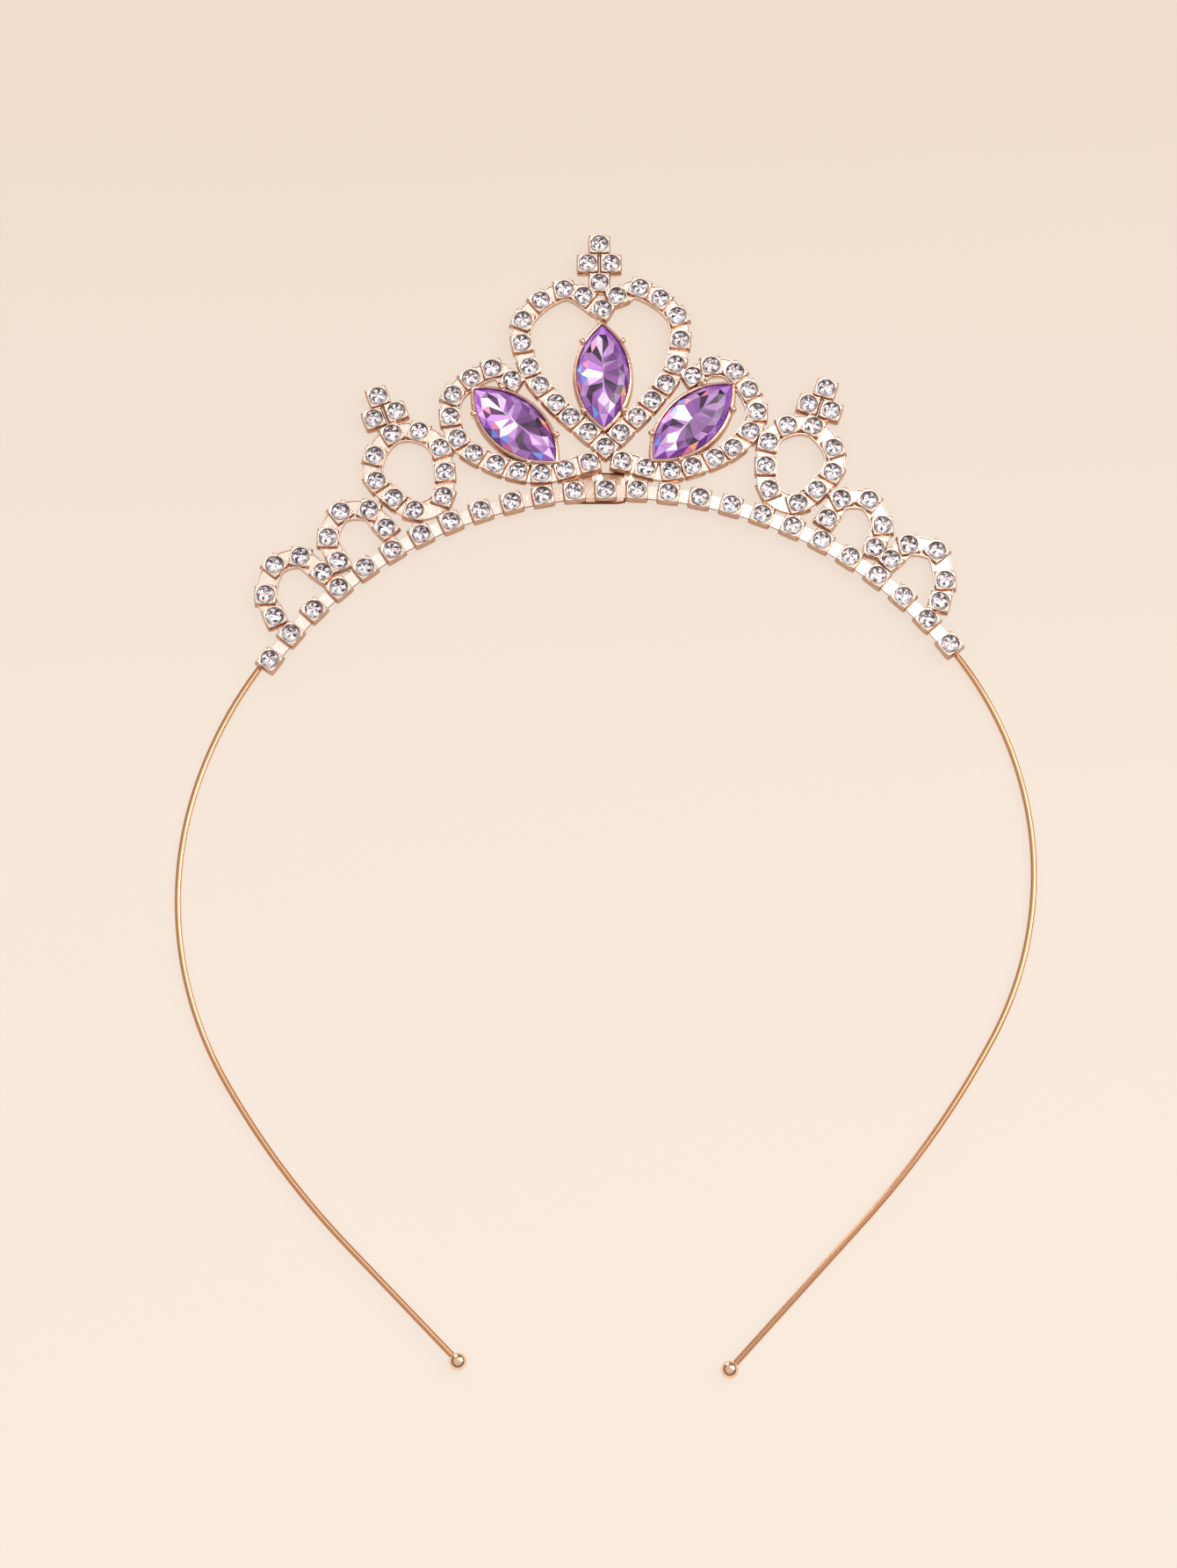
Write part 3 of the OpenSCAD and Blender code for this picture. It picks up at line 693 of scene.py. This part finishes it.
def cut(outline, steps, rings, top, girdle, depth):
    """A cut stone: points, triangles, and for each triangle its group and its place in that.

    Each ring of corners is the outline times its shares, every other ring is shifted by half a step,
    and triangles go to and fro between a ring and the next. A fan closes the table and the bottom."""
    n = 2 * steps
    last = len(rings) - 1
    corners = [[[0, 0, girdle + top]]]
    for index, (width, length, rise) in enumerate(rings):
        half = 0.5 * ((last - index) % 2)
        ring = outline(steps, half=half) * [width, length]
        corners.append(np.insert(ring, 2, girdle + top * rise, axis=1))
    corners.append([[0, 0, girdle - depth]])
    i = np.arange(n)
    after = (i + 1) % n
    triangles = [np.stack([0 * i, 1 + i, 1 + after], 1)]
    for index in range(last):
        inner, outer = 1 + index * n, 1 + (index + 1) * n
        if (last - index) % 2:
            triangles += [
                np.stack([outer + i, outer + after, inner + i], 1),
                np.stack([inner + i, outer + after, inner + after], 1)]
        else:
            triangles += [
                np.stack([inner + i, outer + i, inner + after], 1),
                np.stack([inner + after, outer + i, outer + after], 1)]
    girdle_ring = 1 + last * n
    triangles.append(np.stack([0 * i + girdle_ring + n, girdle_ring + after, girdle_ring + i], 1))
    groups = np.repeat(np.arange(len(triangles)), n)
    return np.concatenate(corners), np.concatenate(triangles), groups, np.tile(i, len(triangles))


def foil_tones(values, tones):
    """Colours for values from 0 to 1, mixed between evenly spaced tones."""
    tones = np.array(tones)
    stops = np.linspace(0, 1, len(tones))
    return np.stack([np.interp(values, stops, tones[:, k]) for k in range(3)], -1)


def foiled(name, roughness, metallic):
    """Foil seen through clear cut glass: each facet has its own tone of painted light and reflection, which
    also glows faintly as painted light, and an inner slope under a gloss.
    """
    finish = Finish(bpy.data.materials.new(name))
    tone = finish.node("ShaderNodeAttribute", {"attribute_name": "facet_colour"}, out="Color")
    lean = finish.node("ShaderNodeAttribute", {"attribute_name": "facet_normal"}, out="Vector")
    place = finish.node("ShaderNodeTexCoord", out="Object")
    cloud = finish.node("ShaderNodeTexNoise", {}, {"Vector": place, "Scale": FOIL_SCALE, "Detail": 2.0})
    return finish.surface({
        "Base Color": tone, "Metallic": metallic, "Roughness": cloud * FOIL_SPREAD + roughness,
        "Normal": lean, "Emission Color": tone, "Emission Strength": PAINTED_STONE_GLOW,
        "Specular IOR Level": 0.1, "Coat Weight": 1.0, "Coat Roughness": 0.03, "Coat IOR": GLASS_IOR})


def stones(name, outline, steps, rings, top, girdle, places, shades, material, node):
    """Cut stones at places as one piece, with a row for each stone and a column for each facet.

    shades gives their colours from the facets' groups, places in the group and outward angles. The
    foil under each facet slopes toward the stone's middle, as a pointed bottom does."""
    points, triangles, groups, spots = cut(outline, steps, rings, top, girdle, girdle - SEAT_FLOOR)
    middles = points[triangles].mean(1)
    angles = np.arctan2(middles[:, 1], middles[:, 0]) + places[:, 2:]
    colours = shades(np.broadcast_to(groups, angles.shape), np.broadcast_to(spots, angles.shape), angles)
    slope = FOIL_SLOPE + SLOPE_CHANGE * (spots[None] % 2) + 0 * angles
    normals = np.stack([-slope * np.cos(angles), -slope * np.sin(angles), 1 + 0 * angles], -1)
    normals /= np.linalg.norm(normals, axis=-1, keepdims=True)
    spread, faces = copies((points, [triangles]), places)
    piece(name, on_crown(spread), faces, material, node, colours.reshape(-1, 3), normals.reshape(-1, 3))


def clear_shades(groups, spots, angles):
    """Painted light and shade: bright below and darker above, with every other facet a dark spoke, and a few
    painted glints of colour.

    The light of a facet is the middle one less its fall times the sine of its angle, plus or minus
    the spoke, plus the chance times a draw from -0.5 to 0.5. The number of facets seeds the draws."""
    chance = np.random.default_rng(int(groups.size)).random(groups.shape + (2,))
    draw = chance[..., 0] - 0.5
    spokes = np.where(spots % 2 == 0, SPOKE, -SPOKE)
    inner = INNER_LIGHT - INNER_FALL * np.sin(angles) + spokes + INNER_CHANCE * draw
    rim = RIM_LIGHT - RIM_FALL * np.sin(angles) + RIM_CHANCE * draw
    colours = foil_tones(np.clip(np.where(groups >= OUTER_BELT, rim, inner), 0, 1), CLEAR_TONES)
    colours = np.where((chance[..., 1] > PINK_ABOVE)[..., None], PALE_PINK, colours)
    return np.where((chance[..., 1] < BLUE_UNDER)[..., None], PALE_BLUE, colours)


clear_finish = foiled("foiled_clear_glass", 0.06, 0.15)
for node, places in cups.items():
    stones(
        node.replace("stones", "brilliants"), circle, STONE_STEPS, STONE_RINGS, STONE_TOP, STONE_GIRDLE,
        places, clear_shades, clear_finish, node)

# The pointed stones. They are light violet glass with a foiled back, cut long, with facets that
# radiate from the middle to the edge. They are held in their collars by the prongs.
NAVETTE_GIRDLE = 1.3
NAVETTE_TOP = 1.2
NAVETTE_STEPS = 9
NAVETTE_RINGS = ((0.05, 0.40, 1.0), (0.62, 0.66, 0.97), (0.84, 0.85, 0.60), (1.0, 1.0, 0.0))
# Tones of the long facets and of the outermost belt, from dark to bright: the violet of the glass with
# painted reflections of light and shade
VIOLET_TONES = (
    (0.03, 0.01, 0.04), (0.11, 0.035, 0.14), (0.26, 0.09, 0.36), (0.52, 0.28, 0.64), (1.0, 0.94, 1.0))
BELT_TONES = (
    (0.09, 0.02, 0.14), (0.20, 0.05, 0.32), (0.34, 0.10, 0.52), (0.55, 0.27, 0.74), (0.9, 0.75, 1.0))
# The painted light of each long facet, a painted reflection, from the lower tip up the right flank and down
# the left one
LONG_FACETS = (
    0.80, 0.32, 0.04, 0.62, 0.54, 0.76, 0.36, 0.62, 0.03,
    0.82, 0.02, 0.62, 0.48, 0.88, 0.56, 0.04, 0.42, 0.72)
# How much paler the left side is painted than the middle, as painted light, and how much is chance in each
# part
LEFT_PALER = 0.14
LONG_CHANCE = 0.36
BELT_CHANCE = 0.7
VIOLET_SEED = 47
# The groups of triangles, with one to spare, and the last one of the innermost belt
FACET_GROUPS = 9
INNER_BELT = 2
# A facet of the table or the innermost belt gets a painted white highlight where the cosine of its
# angle from the left is above this
FLASH_ABOVE = 0.97
# The painted glints: each colour, and from where up to where a draw from 0 to 1 gives it to a facet
GLINTS = (
    ((0.75, 0.20, 0.34), 0.95, 1.0), ((0.95, 0.42, 0.25), 0.0, 0.012), ((0.18, 0.36, 0.90), 0.02, 0.04))


def violet_shades(groups, spots, angles):
    """Long facets in plum, violet and lilac, with painted light and shade: paler on the left with a painted
    white highlight, a painted bright ridge along the stone between dark facets, a deep violet belt at the
    edge, and a few painted glints.

    The light of a long facet is its own less the cosine of its angle times LEFT_PALER, plus the
    chance times a draw from -0.5 to 0.5. That of the belt is 0.5 and its chance alone."""
    chance = np.random.default_rng(VIOLET_SEED).random((FACET_GROUPS, 2 * NAVETTE_STEPS, 2))
    own = chance[groups, spots]
    draw = own[..., 0] - 0.5
    light = np.array(LONG_FACETS)[spots] - LEFT_PALER * np.cos(angles) + LONG_CHANCE * draw
    light = np.where((np.cos(angles - np.pi) > FLASH_ABOVE) & (groups <= INNER_BELT), 1.0, light)
    colours = foil_tones(np.clip(light, 0, 1), VIOLET_TONES)
    belt = foil_tones(0.5 + BELT_CHANCE * draw, BELT_TONES)
    colours = np.where((groups >= OUTER_BELT)[..., None], belt, colours)
    for glint, low, high in GLINTS:
        lit = (own[..., 1] >= low) & (own[..., 1] < high) & (groups > INNER_BELT)
        colours = np.where(lit[..., None], glint, colours)
    return colours


violet_finish = foiled("foiled_violet_glass", 0.06, 0.20)
for name, seat in zip(("centre", "left", "right"), seats):
    stones(
        f"{name}_pointed_stone", lens, NAVETTE_STEPS, NAVETTE_RINGS, NAVETTE_TOP, NAVETTE_GIRDLE,
        seat[None], violet_shades, violet_finish, f"{name}_navette")

# The surface that the part lies on. It is a plain pale table top in a warm cream, wide enough that
# its edge is out of sight, with a soft glow that keeps its shadows as faint as a studio's.
FLOOR_SIZE = 8.0
FLOOR_POINTS = 13
# Its two tones, and its glow along Y from the near side to the far one: the ends of the ramp first,
# then the stop between them, over this many metres about the middle
FLOOR_TONES = ((0.08, 0.067, 0.059), (0.09, 0.077, 0.067))
FLOOR_GLOW = ((0.0, (0.835, 0.739, 0.651)), (1.0, (0.752, 0.629, 0.526)), (0.5, (0.822, 0.714, 0.626)))
GLOW_LENGTH = 0.2
floor_mesh = bpy.data.meshes.new("table_top")
edge = np.linspace(-FLOOR_SIZE / 2, FLOOR_SIZE / 2, FLOOR_POINTS)
floor_x, floor_y = np.meshgrid(edge, edge)
floor_points = np.stack([floor_x, floor_y, 0 * floor_x], -1).reshape(-1, 3)
floor_mesh.from_pydata(
    floor_points.tolist(), [], grid_faces(FLOOR_POINTS, FLOOR_POINTS, ring=False).tolist())
table_top = bpy.data.objects.new("table_top", floor_mesh)
bpy.context.scene.collection.objects.link(table_top)
cream = Finish(bpy.data.materials.new("cream_surface"))
floor_place = cream.node("ShaderNodeTexCoord", out="Object")
drift = cream.node("ShaderNodeTexNoise", {}, {"Vector": floor_place, "Scale": 5.0, "Detail": 2.0})
cream_tone = cream.node(
    "ShaderNodeMix", {"data_type": "RGBA"},
    {0: drift, 6: (*FLOOR_TONES[0], 1), 7: (*FLOOR_TONES[1], 1)}, out=2)
along = cream.node("ShaderNodeSeparateXYZ", {}, {"Vector": floor_place}, out="Y")
soft_glow = cream.node(
    "ShaderNodeValToRGB", {"stops": FLOOR_GLOW}, {"Fac": along * (1 / GLOW_LENGTH) + 0.5})
floor_mesh.materials.append(cream.surface({
    "Base Color": cream_tone, "Roughness": 0.75, "Specular IOR Level": 0.2,
    "Emission Color": soft_glow, "Emission Strength": 1.0}))

# The light. A large white softbox stands above to the right, a smaller cream one low at the far
# side, and a small one hangs overhead, whose reflection whitens the right half of the crown. The
# room is pale above and darker round the horizon.
ROOM_GLOW = 1.0
# Each light: its name, the way it comes from, its distance and size in metres, its power and colour
SOFTBOXES = (
    ("key_softbox", (0.676, 0.243, 0.693), 1.1, 0.8, 7.0, (1.0, 0.97, 0.94)),
    ("cream_softbox", (-0.39, 0.90, 0.30), 1.1, 0.5, 3.0, (1.0, 0.90, 0.80)),
    ("overhead_softbox", (0.25, 0.41, 1.0), 1.12, 0.44, 0.9, (1.0, 0.98, 0.96)))
# The room's tones by height, from the horizon up: the ends of the ramp first, then the others
ROOM_TONES = (
    (0.0, (0.60, 0.48, 0.38)), (1.0, (0.98, 0.95, 0.93)), (0.02, (0.16, 0.10, 0.07)),
    (0.30, (0.28, 0.22, 0.19)), (0.55, (0.62, 0.57, 0.54)), (0.85, (1.0, 0.96, 0.93)))


def softbox(name, source, distance, size, watts, colour):
    """A square area light at a distance toward source, turned to the origin."""
    lamp = bpy.data.lights.new(name, "AREA")
    lamp.energy, lamp.size, lamp.color = watts, size, colour
    body = bpy.data.objects.new(name, lamp)
    body.location = np.array(source) / np.linalg.norm(source) * distance
    body.rotation_euler = body.location.to_track_quat("Z", "Y").to_euler()
    bpy.context.scene.collection.objects.link(body)


for light in SOFTBOXES:
    softbox(*light)
room = Finish(bpy.data.worlds.new("room"))
bpy.context.scene.world = room.owner
looking = room.node("ShaderNodeTexCoord", out="Generated")
upward = room.node("ShaderNodeSeparateXYZ", {}, {"Vector": looking}, out="Z")
sky = room.node("ShaderNodeValToRGB", {"stops": ROOM_TONES}, {"Fac": upward})
glow = room.node("ShaderNodeBackground", {}, {"Color": sky, "Strength": ROOM_GLOW})
room.node("ShaderNodeOutputWorld", {}, {"Surface": glow})

# The camera. It looks down on the lying part from a little toward its open end, which is the angle
# that the photograph shows, through a long portrait lens.
CAMERA_AT = (-0.0023, -0.1499, 0.4603)
CAMERA_PITCH = np.radians(18.0)
LENS_MM = 85
SENSOR_MM = 36
camera_lens = bpy.data.cameras.new("camera")
camera_lens.lens = LENS_MM
camera_lens.sensor_fit = "VERTICAL"
camera_lens.sensor_height = SENSOR_MM
camera = bpy.data.objects.new("camera", camera_lens)
camera.location = CAMERA_AT
camera.rotation_euler = (CAMERA_PITCH, 0, 0)
bpy.context.scene.collection.objects.link(camera)
bpy.context.scene.camera = camera
bpy.context.scene.view_settings.view_transform = "Standard"
